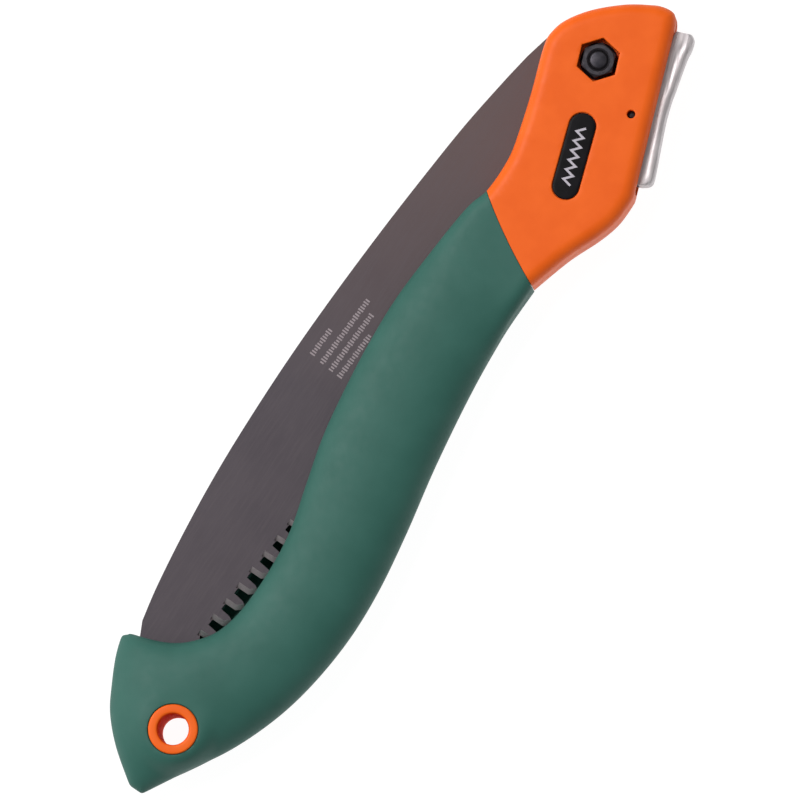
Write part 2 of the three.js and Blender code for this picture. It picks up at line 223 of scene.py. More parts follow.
def hoops(rows, count, closed=False):
    """The faces between rows of count vertices, where each row is a closed ring."""
    faces = []
    for row in range(rows if closed else rows - 1):
        a, b = row * count, (row + 1) % rows * count
        for i in range(count):
            j = (i + 1) % count
            faces.append((a + i, a + j, b + j, b + i))
    return faces


def stack(name, rings, material=None):
    """A closed solid through rings of equally many points, each (outline, height)."""
    vertices = []
    for outline, height in rings:
        vertices += [(x, y, height) for x, y in outline]
    total, count = len(vertices), len(rings[0][0])
    faces = hoops(len(rings), count) + [range(count), range(total - count, total)]
    return mesh_object(name, vertices, faces, material)


def turned(name, centre, profile, material, count=64):
    """A turned piece on an upright axis, from its closed half section of (radius, height)."""
    vertices = []
    for radius, height in profile:
        vertices += [(x, y, height) for x, y in circle(centre, radius, count)]
    return mesh_object(name, vertices, hoops(len(profile), count, closed=True), material)


def prism(name, outline, low, high, material=None):
    """A solid of one outline between two heights."""
    return stack(name, [(outline, low), (outline, high)], material)


def combine(obj, tools, operation):
    """Cuts obj by, or joins it with, each tool, and removes the tool."""
    for tool in tools:
        modifier = obj.modifiers.new("cut", "BOOLEAN")
        modifier.object = tool
        modifier.operation = operation
        modifier.solver = "EXACT"
        modifier.material_mode = "TRANSFER"
        graph = bpy.context.evaluated_depsgraph_get()
        mesh = bpy.data.meshes.new_from_object(obj.evaluated_get(graph), depsgraph=graph)
        obj.modifiers.clear()
        obj.data = mesh
        bpy.data.objects.remove(tool)
    return obj


def mouth(shape, size, floor, top, fillet):
    """A cutter for a recess whose mouth is rounded over. shape(size) gives its outline."""
    rings = [(shape(size), floor)]
    sign = 1 if top > floor else -1
    for out, left in quarter(4):
        rings.append((shape(size + fillet * out), top - sign * fillet * left))
    rings.append((shape(size + fillet), top + sign * 3))
    return stack("cutter", rings)


GRID_STEP = 2.0  # between the points of a shell's flatter middle
ROW_STEP = 0.7  # along a row, which is thinned towards the grid's step further in
ROW_TURNS = (7, 14, 21, 29, 37, 46, 56, 67, 79, 90)  # degrees round the edge, one for each row


def inner_points(outline, round_over):
    """Points inside an outline: rows that follow its edge, closer together near it, then a grid."""
    normals = np.roll(outline, -1, 0) - np.roll(outline, 1, 0)
    normals = np.column_stack([-normals[:, 1], normals[:, 0]])
    normals /= np.linalg.norm(normals, axis=1)[:, None]
    if not inside(outline[:1] + normals[:1] * 0.3, outline)[0]:
        normals = -normals
    rows = []
    for turn in ROW_TURNS:
        depth = round_over * (1 - math.cos(math.radians(turn)))
        thinned = max(1, round(depth / round_over * GRID_STEP / ROW_STEP))
        row = (outline + normals * depth)[::thinned]
        keep = inside(row, outline)
        keep[keep] &= edge_distance(row[keep], outline) > depth - 0.04
        rows.append(row[keep])
    low, high = outline.min(0), outline.max(0)
    xs = np.arange(low[0], high[0], GRID_STEP)
    ys = np.arange(low[1], high[1], GRID_STEP * 0.87)
    grid = np.array([(x + (k % 2) * GRID_STEP / 2, y) for k, y in enumerate(ys) for x in xs])
    grid = grid[inside(grid, outline)]
    rows.append(grid[edge_distance(grid, outline) > round_over + GRID_STEP * 0.5])
    return np.vstack(rows)


def swell(points, triangles, fixed, spring):
    """How high a sheet would be blown up that is held at some points and sprung at others.

    On a long strip it is a round section. The sheet's equation is solved by conjugate gradients.
    """
    corners = points[triangles]
    pairs, weights = [], []
    for k in range(3):
        a, b, c = (corners[:, (k + i) % 3] for i in (0, 1, 2))
        cross = (b - a)[:, 0] * (c - a)[:, 1] - (b - a)[:, 1] * (c - a)[:, 0]
        cotangent = ((b - a) * (c - a)).sum(1) / np.maximum(np.abs(cross), 1e-6)
        weights.append(np.clip(cotangent, 0.02, 50) / 2)
        pairs.append(triangles[:, [(k + 1) % 3, (k + 2) % 3]])
        area = np.abs(cross) / 2
    pairs, weights = np.vstack(pairs), np.concatenate(weights)
    count = len(points)
    load = sum(np.bincount(triangles[:, k], area / 3, count) for k in range(3))
    own = sum(np.bincount(pairs[:, k], weights, count) for k in (0, 1)) + spring
    load[fixed] = 0

    def pull(height):
        height = np.where(fixed, 0, height)
        flow = sum(np.bincount(pairs[:, k], weights * height[pairs[:, 1 - k]], count)
                   for k in (0, 1))
        return np.where(fixed, 0, own * height - flow)

    height = np.zeros(count)
    rest = load.copy()
    step = rest / own
    old = rest @ step
    for _ in range(600):
        pulled = pull(step)
        share = old / (step @ pulled)
        height += share * step
        rest -= share * pulled
        scaled = rest / own
        new = rest @ scaled
        if new < 1e-10:
            break
        step = scaled + new / old * step
        old = new
    return np.sqrt(2 * np.maximum(height, 0))


GRIP_STEP = 0.6  # between the points of the grip's outline
FREE_NEAR = 1.2  # one of them this near the slot's edge is sprung and not held down
SLOT_SPRING = GRIP_STEP / 2.2  # over the depth to which that edge gives


def half_shell(name, outline, side, top, round_over, material, slot_edge=None):
    """A moulded half shell, flat below and upright at its edge.

    side is 1 for the front half and -1 for the rear one. top(points, depth, swelling) gives its
    height, and its swelling stays high along slot_edge.
    """
    plan = np.vstack([outline, inner_points(outline, round_over)])
    count = len(outline)
    border = [(i, (i + 1) % count) for i in range(count)]
    flat, _, faces, *_ = delaunay_2d_cdt([Vector(p) for p in plan], border, [], 1, 1e-4)
    flat = np.array([tuple(v) for v in flat])
    triangles = np.array([tuple(f) for f in faces])
    depth = edge_distance(flat, outline)
    depth[:count] = 0
    held, spring = depth < 1e-3, np.zeros(len(flat))
    if slot_edge is not None:
        free = np.flatnonzero(edge_distance(flat[:count], slot_edge) < FREE_NEAR)
        held[free] = False
        spring[free] = SLOT_SPRING
    heights = top(flat, depth, swell(flat, triangles, held, spring))
    vertices = [(x, y, side * z) for (x, y), z in zip(flat, heights)]
    vertices += [(x, y, side * PARTING) for x, y in flat[:count]]
    base = len(flat)
    faces = [tuple(f) for f in faces]
    faces += [(i, j, base + j, base + i) for i, j in border]
    faces.append(tuple(range(base, base + count)))
    return mesh_object(name, vertices, faces, material)


def ease(value, start, end):
    """A smooth step from 0 at the start to 1 at the end."""
    t = np.clip((value - start) / (end - start), 0, 1)
    return t * t * (3 - 2 * t)


SQUARENESS = 2.2  # of a round-over, where 2 is a quarter circle


def rounded(share):
    """A round-over's height at that share of its width."""
    return (1 - (1 - share) ** SQUARENESS) ** (1 / SQUARENESS)


# ---- materials ----

def linear(r, g, b):
    """An 8-bit screen colour as the shader's colour."""
    def one(v):
        v /= 255
        return v / 12.92 if v <= 0.04045 else ((v + 0.055) / 1.055) ** 2.4
    return one(r), one(g), one(b), 1.0


class Finish:
    """A node material in object coordinates, in millimetres."""

    def __init__(self, name, roughness=0.5, metallic=0.0, specular=0.5):
        self.material = bpy.data.materials.new(name)
        self.material.use_nodes = True
        self.nodes = self.material.node_tree.nodes
        self.links = self.material.node_tree.links
        self.shader = self.nodes["Principled BSDF"]
        own = {"Roughness": roughness, "Metallic": metallic, "Specular IOR Level": specular}
        for key, value in own.items():
            self.shader.inputs[key].default_value = value
        coordinates = self.nodes.new("ShaderNodeTexCoord")
        scaled = self.nodes.new("ShaderNodeMapping")
        scaled.inputs["Scale"].default_value = (1 / MM,) * 3
        self.links.new(coordinates.outputs["Object"], scaled.inputs["Vector"])
        self.place = scaled.outputs["Vector"]
        self.normal = None

    def noise(self, size, detail, stretch=None, turn=0.0):
        """Noise whose features are about size millimetres across, and longer along its turned axes
        by the factors in stretch."""
        place = self.place
        if stretch:
            mapping = self.nodes.new("ShaderNodeMapping")
            mapping.vector_type = "TEXTURE"
            mapping.inputs["Rotation"].default_value = (0, 0, turn)
            mapping.inputs["Scale"].default_value = stretch
            self.links.new(place, mapping.inputs["Vector"])
            place = mapping.outputs["Vector"]
        node = self.nodes.new("ShaderNodeTexNoise")
        node.inputs["Scale"].default_value = 1 / size
        node.inputs["Detail"].default_value = detail
        self.links.new(place, node.inputs["Vector"])
        return node.outputs["Fac"]

    def along(self, start, end):
        """How far a place is from one X to another of the frame, in millimetres, as 0 to 1."""
        split = self.nodes.new("ShaderNodeSeparateXYZ")
        self.links.new(self.place, split.inputs["Vector"])
        return self.between(split.outputs["X"], 0.0, 1.0, start, end)

    def between(self, value, low, high, start, end):
        """value's stretch from start to end, as low to high: numbers, or 8-bit screen colours."""
        if isinstance(low, tuple):
            ramp = self.nodes.new("ShaderNodeValToRGB")
            for stop, place, colour in zip(ramp.color_ramp.elements, (start, end), (low, high)):
                stop.position, stop.color = place, linear(*colour)
            self.links.new(value, ramp.inputs["Fac"])
            return ramp.outputs["Color"]
        node = self.nodes.new("ShaderNodeMapRange")
        limits = {"From Min": start, "From Max": end, "To Min": low, "To Max": high}
        for key, number in limits.items():
            node.inputs[key].default_value = number
        self.links.new(value, node.inputs["Value"])
        return node.outputs["Result"]

    def mixed(self, share, first, second):
        """Two colours mixed by share. Each is an 8-bit screen colour or a socket."""
        node = self.nodes.new("ShaderNodeMix")
        node.data_type = "RGBA"
        self.links.new(share, node.inputs["Factor"])
        for key, value in (("A", first), ("B", second)):
            socket = [i for i in node.inputs if i.name == key and i.type == "RGBA"][0]
            if isinstance(value, tuple):
                socket.default_value = linear(*value)
            else:
                self.links.new(value, socket)
        return [o for o in node.outputs if o.type == "RGBA"][0]

    def colour(self, value):
        self.links.new(value, self.shader.inputs["Base Color"])

    def roughness(self, value, low, high):
        self.links.new(self.between(value, low, high, 0.3, 0.7), self.shader.inputs["Roughness"])

    def bump(self, value, height):
        """Relief of that height in millimetres. Reliefs add up."""
        node = self.nodes.new("ShaderNodeBump")
        node.inputs["Distance"].default_value = height * MM
        self.links.new(value, node.inputs["Height"])
        if self.normal:
            self.links.new(self.normal, node.inputs["Normal"])
        self.normal = node.outputs["Normal"]
        self.links.new(self.normal, self.shader.inputs["Normal"])

    def edges(self, start, end):
        """How far a place is a convex edge, from 0 to 1."""
        geometry = self.nodes.new("ShaderNodeNewGeometry")
        return self.between(geometry.outputs["Pointiness"], 0.0, 1.0, start, end)


def orange_nylon():
    f = Finish("orange_nylon", specular=0.2)
    tone = f.between(f.noise(9, 2), (231, 94, 15), (236, 99, 21), 0.35, 0.65)
    # Lighter convex edges here are a painted edge highlight.
    painted_edge_highlight = f.mixed(f.edges(0.55, 0.68), tone, (240, 112, 42))
    f.colour(painted_edge_highlight)
    f.roughness(f.noise(2.4, 4), 0.42, 0.52)
    f.bump(f.noise(0.35, 2), 0.01)
    f.bump(f.noise(1.6, 3), 0.008)
    return f.material


def shaded_nylon_bore():
    """The same nylon made darker and redder as painted shade inside the deep bore, rough and with
    little specular.
    """
    f = Finish("shaded_nylon_bore", roughness=0.8, specular=0.05)
    f.colour(f.between(f.noise(2, 3), (214, 66, 12), (228, 76, 16), 0.3, 0.7))
    f.bump(f.noise(0.6, 3), 0.02)
    return f.material


def green_grip():
    f = Finish("green_grip", specular=0.28)
    tone = f.between(f.noise(14, 3), (43, 90, 80), (49, 96, 86), 0.3, 0.7)
    # Lighter, greyer convex edges here are a painted edge sheen.
    painted_edge_highlight = f.mixed(f.edges(0.55, 0.68), tone, (72, 112, 102))
    f.colour(painted_edge_highlight)
    f.roughness(f.noise(3, 4), 0.54, 0.62)
    f.bump(f.noise(0.45, 2), 0.014)
    f.bump(f.noise(2.2, 3), 0.006)
    return f.material


def blade_coating():
    f = Finish("blade_coating", metallic=0.25, specular=0.45)
    drawn = f.noise(0.5, 3, stretch=(16, 1, 1))
    tone = f.between(f.noise(18, 4), (58, 50, 57), (65, 57, 63), 0.3, 0.7)
    # Redder and lighter towards the head: painted light bounced from the orange head.
    orange_bounce = f.mixed(f.along(-15, 85), tone, (82, 65, 65))
    f.colour(f.mixed(f.between(drawn, 0.0, 0.35, 0.45, 0.75), orange_bounce, (81, 72, 77)))
    f.roughness(drawn, 0.36, 0.52)
    f.bump(f.noise(0.3, 2), 0.008)
    f.bump(drawn, 0.006)
    return f.material


def ground_steel():
    f = Finish("ground_steel", metallic=1.0)
    lines = f.noise(0.12, 2, stretch=(1, 8, 1))
    f.colour(f.between(lines, (158, 150, 152), (186, 178, 180), 0.3, 0.7))
    f.roughness(lines, 0.32, 0.42)
    f.bump(lines, 0.002)
    return f.material


def pressed_steel():
    f = Finish("pressed_steel", metallic=0.66, specular=0.4)
    drawn = f.noise(0.75, 3, stretch=(24, 1, 1), turn=HEAD_TILT)
    patches = f.noise(4, 3)
    tone = f.between(patches, (204, 198, 199), (216, 210, 211), 0.35, 0.65)
    f.colour(f.mixed(f.between(drawn, 0.0, 0.7, 0.42, 0.62), tone, (164, 158, 160)))
    f.roughness(drawn, 0.44, 0.54)
    f.bump(drawn, 0.004)
    f.bump(patches, 0.008)
    return f.material


def black_steel():
    f = Finish("black_steel", metallic=0.8)
    tone = f.between(f.noise(1.8, 4), (42, 41, 47), (58, 55, 60), 0.35, 0.65)
    f.colour(f.mixed(f.edges(0.53, 0.6), tone, (92, 87, 90)))
    f.roughness(f.noise(0.8, 3), 0.32, 0.5)
    f.bump(f.noise(0.4, 3), 0.012)
    return f.material


def badge_black():
    f = Finish("badge_black", specular=0.1)
    f.colour(f.between(f.noise(3, 3), (8, 8, 10), (18, 16, 20), 0.35, 0.65))
    f.roughness(f.noise(1.2, 3), 0.36, 0.46)
    f.bump(f.noise(0.8, 2), 0.004)
    return f.material


def pale_print(name, low, high):
    f = Finish(name)
    f.colour(f.between(f.noise(0.7, 3), low, high, 0.3, 0.7))
    f.roughness(f.noise(0.5, 2), 0.42, 0.6)
    return f.material


def white_acetal():
    f = Finish("white_acetal", roughness=0.4)
    f.colour(f.between(f.noise(2, 3), (226, 222, 210), (236, 233, 224), 0.3, 0.7))
    f.bump(f.noise(0.5, 2), 0.01)
    return f.material


def spring_steel():
    f = Finish("spring_steel", metallic=1.0)
    f.colour(f.between(f.noise(0.4, 3), (150, 150, 152), (196, 196, 198), 0.3, 0.7))
    f.roughness(f.noise(0.3, 3), 0.2, 0.36)
    return f.material


ORANGE, SHADED_BORE, GREEN = orange_nylon(), shaded_nylon_bore(), green_grip()
COATING, GROUND, PRESSED = blade_coating(), ground_steel(), pressed_steel()
BLACKENED, GLOSS = black_steel(), badge_black()
ACETAL, WIRE = white_acetal(), spring_steel()
BADGE_MARK = pale_print("badge_mark", (166, 160, 170), (186, 180, 190))
BLADE_MARK = pale_print("blade_mark", (134, 122, 126), (146, 134, 138))


def settle(obj, body, node, sharp=35):
    """Smooths a finished piece, gives it its body and hides the CAD node it stands for."""
    without_slivers(obj)
    smooth(obj, sharp)
    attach(obj, body)
    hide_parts(node)
    return obj


# ---- head and grip ----

SEAM_TOP = (-54.5, 6.6)
SEAM_BEND = (-64, -6)
SEAM_FOOT = (-72, -22.7)
SEAM_SLOPE = 0.597  # how far the seam leans in X for each millimetre in Y
SEAM_GAP = 0.18

HEAD_LOWER = [SEAM_FOOT, (-58, -26.9), (-47, -31.5), (-39, -33.7), (-30.6, -33.9)]
HEAD_CORNER = [head_point(16.5, 21.4), (26.0, -11.9), (26.1, -8.6), (25.3, -5.8)]
HEAD_END = [(25.3, -5.8), (20, 2.8), (12, 11.4), (4, 16.7), (-2.5, 18.1)]
HEAD_UPPER = [(-2.5, 18.1), (-8, 16.7), (-20, 12.5), (-32, 8.9), (-42, 6.6), SEAM_TOP, (-66, 9.4)]

GRIP_UPPER = [
    (-44, 5.4), SEAM_TOP, (-62, 8.8), (-76, 10.4), (-98, 11.7), (-116, 10.9), (-133, 9), (-149, 6.4),
    (-165, 2.2), (-180, -1.8), (-195, -3.4), (-210, -3), (-220, -0.4), (-227, 4.8), (-231, 10),
    (-233.6, 16), (-235.4, 22),
]
BUTT = [(-237.4, 24.9), (-244, 22.7), (-252, 18.8), (-260.2, 14), (-268.2, 6.3), (-276.1, -4.4)]
GRIP_LOWER = [
    (-276.1, -9), (-262, -17), (-248, -25.1), (-232, -31.4), (-216, -35), (-198, -36.6),
    (-180, -35.8), (-160, -32.9), (-138, -28.8), (-116, -25.6), (-96, -23.5), (-82, -22.8),
    (-58, -23.4),
]

GRIP_UPPER_REAR = GRIP_UPPER[:6] + [
    (-133, 9.2), (-149, 7.4), (-165, 5.2), (-180, 3.4), (-195, 2.8), (-210, 3.9), (-220, 6),
    (-227, 8.8), (-231, 11.8),
] + GRIP_UPPER[-2:]

HEAD_OUTLINE = softened(
    [(-92, -18)] + curve(HEAD_LOWER) + curve(HEAD_CORNER) + curve(HEAD_END) + curve(HEAD_UPPER),
    ROW_STEP, 2)

BLADE_ROOM_HEAD = [(-76, FAR), (-76, -16.5), (-29, -16.5), (-29, -FAR), (FAR, -FAR), (FAR, FAR)]
BLADE_ROOM_GRIP = [
    (-40, FAR), (-40, -16.8), (-76, -16.5), (-110, -14.2), (-150, -10.2), (-190, -6.6), (-220, -4.2),
    (-236, -2.6), (-243.5, 4), (-245, 12), (-245, FAR),
]
LEVER_ROOM = [head_point(*p) for p in (
    (-38.5, FAR), (-38.5, 14.2), (-24, 14.2), (-21, 9.6), (-8.5, 9.6), (0, 16.6), (14.5, 19.4),
    (14.5, FAR))]
LEVER_ROOM_HALF = 5.1

# The head's tongue reaches into the grip.
TONGUE = [(-100, -21), (-54, -21), (-54, 5), (-100, 5)]
TONGUE_HIGH = 4.2
TONGUE_ROOM = [(-100.3, -21.3), (-34, -21.3), (-34, 5.3), (-100.3, 5.3)]

# Hollows of the grip: each bay's two ends, and sections as (wall to the outline, height).
BAYS = [(-121, -104), (-143, -124), (-179, -157), (-204, -182), (-215, -207)]
BAY_SECTION = ((8, -7.6), (5.2, -6.2), (3.0, -4.2), (3.0, 4.2), (5.2, 6.2), (8, 7.6))
TOOTH_ROOM_ENDS = (-226, -142)
TOOTH_ROOM_SECTION = ((5.0, -8.4), (3.2, -6.0), (2.1, -4.4), (1.5, -1.0))

SHOULDER, HEAD_ROUND = 6.2, 4.2  # the head's upright side, and its round-over
GRIP_SIDE, GRIP_ROUND = 0.7, 11.0  # the same for the grip's outer edge
SWELL_SHARE, SWELL_LIMIT = 0.76, 14.5  # of the swelling that the grip takes, and its flattening
SLOT_SIDE, SLOT_CROWN, SLOT_ROUND = 0.66, 0.34, 2.8  # shares upright and rounded along the slot
SEAM_BLEND = 38  # over which the grip takes on the head's section
FILLET = 0.35  # of a recess's mouth

BADGE_ENDS = ((-39.5, -14), (-20.6, -7.7))
BADGE_R, BADGE_EDGE = 4.3, 0.35
BADGE_SEAT = HEAD_HALF - 0.8
CHEEK = 4.9  # floor of both pivot recesses
NUT_RECESS_R, BOLT_RECESS_R, BOLT_ROOM_R = 7.2, 6.7, 3.2
LEVER_PIN, PIN_ROOM_R = head_point(-14.8, 14.2), 1.35
RIVET = head_point(-20.5, 19.2)
EYELET = (-253.5, -6.9)
BORE_R, TUBE_R, FLANGE_R = 5.0, 6.3, 8.0
FLANGE_SEAT, FLANGE_FACE = 10.5, 11.8
EYELET_FLOOR, EYELET_FLAT = 10.2, 11.45  # floor of the flange's recess, and the grip around it
EYELET_FLAT_R = (15, 8.5)  # where the flat starts and is full
SCREWS = [(-88, -18.4), (-150, -21), (-222, -20)]
SCREW_SEAT, SCREW_REACH = 6.0, 7.0
SCREW_R, SCREW_HEAD_R = 1.2, 2.3


def grip_outline(side):
    upper = GRIP_UPPER if side > 0 else GRIP_UPPER_REAR
    return softened(curve(GRIP_LOWER) + curve(upper) + curve(BUTT), GRIP_STEP, 2)


def beside_seam(far, shift=0.0):
    """Everything on one side of the seam between grip and head."""
    t = np.linspace(0, 1, 24)[:, None]
    foot, bend, top = (np.array(p, float) for p in (SEAM_FOOT, SEAM_BEND, SEAM_TOP))
    seam = (1 - t) ** 2 * foot + 2 * t * (1 - t) * bend + t**2 * top
    outline = np.vstack([[(far, -FAR), (-90, -FAR)], seam, [(-14, FAR), (far, FAR)]])
    return prism("seam_side", outline + np.array([shift, 0]), -FAR, FAR)


def hexagon(size):
    return circle(AXIS, size, 6, HEAD_TILT)


def badge_plan(size):
    return capsule(*BADGE_ENDS, size)


def round_at(centre, count=48):
    return lambda size: circle(centre, size, count)


def head_top(depth):
    """An upright side up to the shoulder, then a round-over to a flat top."""
    return SHOULDER + (HEAD_HALF - SHOULDER) * rounded(np.clip(depth / HEAD_ROUND, 0, 1))


def head_shell(side, name, node):
    def top(points, depth, swelling):
        return head_top(depth)

    shell = half_shell(name, HEAD_OUTLINE, side, top, HEAD_ROUND, ORANGE)
    low, high = sorted((side * (SLOT_HALF + 0.2), side * TONGUE_HIGH))
    combine(shell, [beside_seam(100)], "INTERSECT")
    combine(shell, [prism("tongue", TONGUE, low, high)], "UNION")
    rooms = [
        prism("blade_room", BLADE_ROOM_HEAD, -SLOT_HALF, SLOT_HALF),
        prism("lever_room", LEVER_ROOM, -LEVER_ROOM_HALF, LEVER_ROOM_HALF),
        mouth(badge_plan, BADGE_R + 0.2, side * BADGE_SEAT, side * HEAD_HALF, FILLET),
        mouth(round_at(LEVER_PIN, 24), PIN_ROOM_R, 0, side * HEAD_HALF, 0.25),
        prism("bolt_room", circle(AXIS, BOLT_ROOM_R), -FAR, FAR),
        prism("screw_room", circle(SCREWS[0], SCREW_R + 0.3, 24), -FAR, FAR),
    ]
    if side > 0:
        rooms.append(mouth(hexagon, NUT_RECESS_R, CHEEK, HEAD_HALF, FILLET))
    else:
        rooms.append(mouth(round_at(AXIS, 64), BOLT_RECESS_R, -CHEEK, -HEAD_HALF, FILLET))
    combine(shell, rooms, "DIFFERENCE")
    return settle(shell, "handle", node)


def grip_top(points, swelling, depth, slot_edge):
    """Round across its width with an upright side along the blade's slot, squarer where it meets
    the head and flat about the eyelet."""
    x, y = points.T
    full = SWELL_SHARE * swelling
    round_top = GRIP_SIDE + full / (1 + (full / SWELL_LIMIT) ** 4) ** 0.25
    round_top *= (GRIP_HALF - 0.02) / max(round_top.max(), GRIP_HALF)
    from_slot = edge_distance(points, slot_edge)
    round_top *= SLOT_SIDE + SLOT_CROWN * rounded(np.clip(from_slot / SLOT_ROUND, 0, 1))
    from_seam = SEAM_TOP[0] + SEAM_SLOPE * (y - SEAM_TOP[1]) - x
    height = round_top + (head_top(depth) - round_top) * ease(from_seam, SEAM_BLEND, 1)
    from_eyelet = np.hypot(x - EYELET[0], y - EYELET[1])
    return height + (EYELET_FLAT - height) * ease(from_eyelet, *EYELET_FLAT_R)


def grip_edge(points, x):
    """The Y of a run of the grip's outline at that X."""
    run = np.array(sorted(curve(points, 1.0)))
    return float(np.interp(x, run[:, 0], run[:, 1]))


def bay(x0, x1):
    """A hollow between two ribs, that keeps its distance from the rounded outside."""
    xs = np.linspace(x0, x1, 6)
    rings = []
    for wall, height in BAY_SECTION:
        lower = [(x, grip_edge(GRIP_LOWER, x) + wall) for x in xs]
        upper = [(x, grip_edge(GRIP_UPPER, x) - wall) for x in xs[::-1]]
        rings.append((lower + upper, height))
    return stack("bay", rings)


def tooth_room():
    """A hollow in the rear shell behind the teeth, under its edge."""
    xs = np.linspace(*TOOTH_ROOM_ENDS, 24)
    rings = []
    for wall, height in TOOTH_ROOM_SECTION:
        lower = [(x, grip_edge(GRIP_UPPER, x) - 8) for x in xs]
        upper = [(x, grip_edge(GRIP_UPPER_REAR, x) - wall) for x in xs[::-1]]
        rings.append((lower + upper, height))
    return stack("tooth_room", rings)


def grip_shell(side, name, node):
    run = curve(GRIP_UPPER if side > 0 else GRIP_UPPER_REAR)
    slot_edge = np.array(run + run[-2:0:-1])

    def top(points, depth, swelling):
        return grip_top(points, swelling, depth, slot_edge)

    shell = half_shell(name, grip_outline(side), side, top, GRIP_ROUND, GREEN, slot_edge)
    combine(shell, [beside_seam(-400, -SEAM_GAP)], "INTERSECT")
    low, high = sorted((side * (SLOT_HALF - 0.1), side * (TONGUE_HIGH + 0.3)))
    rooms = [
        prism("blade_room", BLADE_ROOM_GRIP, -SLOT_HALF, SLOT_HALF),
        prism("tongue_room", TONGUE_ROOM, low, high),
        mouth(round_at(EYELET), FLANGE_R + 0.15, side * EYELET_FLOOR, side * EYELET_FLAT, FILLET),
        prism("eyelet_room", circle(EYELET, TUBE_R + 0.3), -FAR, FAR),
    ]
    rooms += [bay(*ends) for ends in BAYS]
    if side < 0:
        rooms.append(tooth_room())
    for centre in SCREWS:
        room = circle(centre, SCREW_R + 0.2, 24)
        rooms.append(prism("screw_room", room, -FAR, SCREW_REACH + 0.4))
        if side < 0:
            room = circle(centre, SCREW_HEAD_R + 0.3, 32)
            rooms.append(prism("screw_head_room", room, -FAR, 0.3 - SCREW_SEAT))
    combine(shell, rooms, "DIFFERENCE")
    return settle(shell, "handle", node)


head_shell(1, "head_cover_front", "head_shell_front")
head_shell(-1, "head_cover_rear", "head_shell_rear")
grip_shell(1, "grip_cover_front", "grip_shell_front")
grip_shell(-1, "grip_cover_rear", "grip_shell_rear")


# ---- badges, eyelet and screws ----

def badge(side, name, node):
    floor, face = BADGE_SEAT + 0.03, BADGE_SEAT + 0.75
    rings = [(badge_plan(BADGE_R), side * floor)]
    for out, left in quarter(4):
        rings.append((badge_plan(BADGE_R - BADGE_EDGE * out), side * (face - BADGE_EDGE * left)))
    for inset in (1.0, 2.0, 3.0):
        rings.append((badge_plan(BADGE_R - inset), side * (face + 0.012 * inset)))
    plate = stack(name, rings, GLOSS)
    settle(plate, "handle", node, sharp=50)
    mark = badge_mark(side, name + "_mark", side * (face + 0.02))
    mark.parent = plate
    return plate


def badge_mark(side, name, height):
    """A plain zigzag, like a row of saw teeth."""
    a, b = (np.array(p) for p in BADGE_ENDS)
    along = (b - a) / np.linalg.norm(b - a)
    across = np.array([-along[1], along[0]])
    length, teeth, reach, width = 19.0, 6, 1.35, 0.72
    start = (a + b) / 2 - along * length / 2
    line = [start + along * length * k / (2 * teeth) + across * (reach if k % 2 else -reach)
            for k in range(2 * teeth + 1)]
    strip = prism(name, ribbon(line, width), height - side * 0.02, height + side * 0.03, BADGE_MARK)
    return smooth(strip, 30)


def ribbon(line, width):
    """A closed outline that runs along both sides of a zigzag."""
    line = [np.array(p, float) for p in line]
    sides = ([], [])
    for i, p in enumerate(line):
        before = p - line[i - 1] if i else line[1] - p
        after = line[i + 1] - p if i + 1 < len(line) else p - line[i - 1]
        before, after = before / np.linalg.norm(before), after / np.linalg.norm(after)
        tangent = (before + after) / np.linalg.norm(before + after)
        normal = np.array([-tangent[1], tangent[0]])
        reach = width / 2 / max(0.3, abs(normal @ np.array([-after[1], after[0]])))
        sides[0].append(p + normal * reach)
        sides[1].append(p - normal * reach)
    return np.array(sides[0] + sides[1][::-1])


badge(1, "badge_plate_front", "badge_front")
badge(-1, "badge_plate_rear", "badge_rear")


def eyelet():
    """A flanged ring with a rounded lip and a flared mouth at either end."""
    lip, flare = 0.6, 0.9
    upper = [(TUBE_R, FLANGE_SEAT), (FLANGE_R, FLANGE_SEAT), (FLANGE_R, FLANGE_FACE - lip)]
    for out, left in quarter(5, 1):
        upper.append((FLANGE_R - lip * out, FLANGE_FACE - lip * left))
    for out, left in quarter(6):
        upper.append((BORE_R + flare * left, FLANGE_FACE - flare * out))
    profile = upper + [(r, -z) for r, z in reversed(upper)]
    ring = turned("lanyard_ring", EYELET, profile, ORANGE)
    # The bore's wall gets the darker copy of the nylon, as painted shade.
    ring.data.materials.append(SHADED_BORE)
    for face in ring.data.polygons:
        place = (face.center - PIVOT) / MM
        if math.hypot(place.x - EYELET[0], place.y - EYELET[1]) < BORE_R + 0.3:
            face.material_index = 1
    return settle(ring, "handle", "lanyard_eyelet", sharp=50)


eyelet()


def rod(name, centre, count, section, material=None):
    """A solid of circles, from its section as (radius, height)."""
    return stack(name, [(circle(centre, r, count), z) for r, z in section], material)


def driven_head(name, centre, radius, seat, top, socket_r, socket_floor):
    """A round screw head with softened edges and a six-sided socket, facing the rear."""
    edge = 0.3
    section = [(radius, seat), (radius, top + edge)]
    section += [(radius - edge * out, top + edge * left) for out, left in quarter(4, 1)]
    head = rod(name, centre, 48, section, BLACKENED)
    socket = [(socket_r, socket_floor), (socket_r, top + 0.15), (socket_r + 0.2, top - 0.05),
              (socket_r + 0.2, top - 2)]
    return combine(head, [rod("socket", centre, 6, socket)], "DIFFERENCE")


def thread(centre, radius, pitch, low, high):
    """A shank with ridges, pointed a little at its far end."""
    root = radius * 0.84
    section = [(radius * 0.82, low)]
    for k in range(int((high - low - 1.2) / pitch)):
        z = low + 0.3 + k * pitch
        section += [(root, z), (radius, z + pitch * 0.4), (radius, z + pitch * 0.55)]
    section += [(root, high - 0.8), (radius * 0.6, high)]
    return rod("shank", centre, 32, section, BLACKENED)


for number, centre in enumerate(SCREWS, 1):
    name, seat = f"case_screw_{number}_turned", -SCREW_SEAT
    screw = driven_head(name, centre, SCREW_HEAD_R, seat, seat - 2.0, 1.2, seat - 0.9)
    combine(screw, [thread(centre, SCREW_R, 0.9, seat - 0.3, SCREW_REACH)], "UNION")
    settle(screw, "handle", f"case_screw_{number}")


# ---- pivot ----

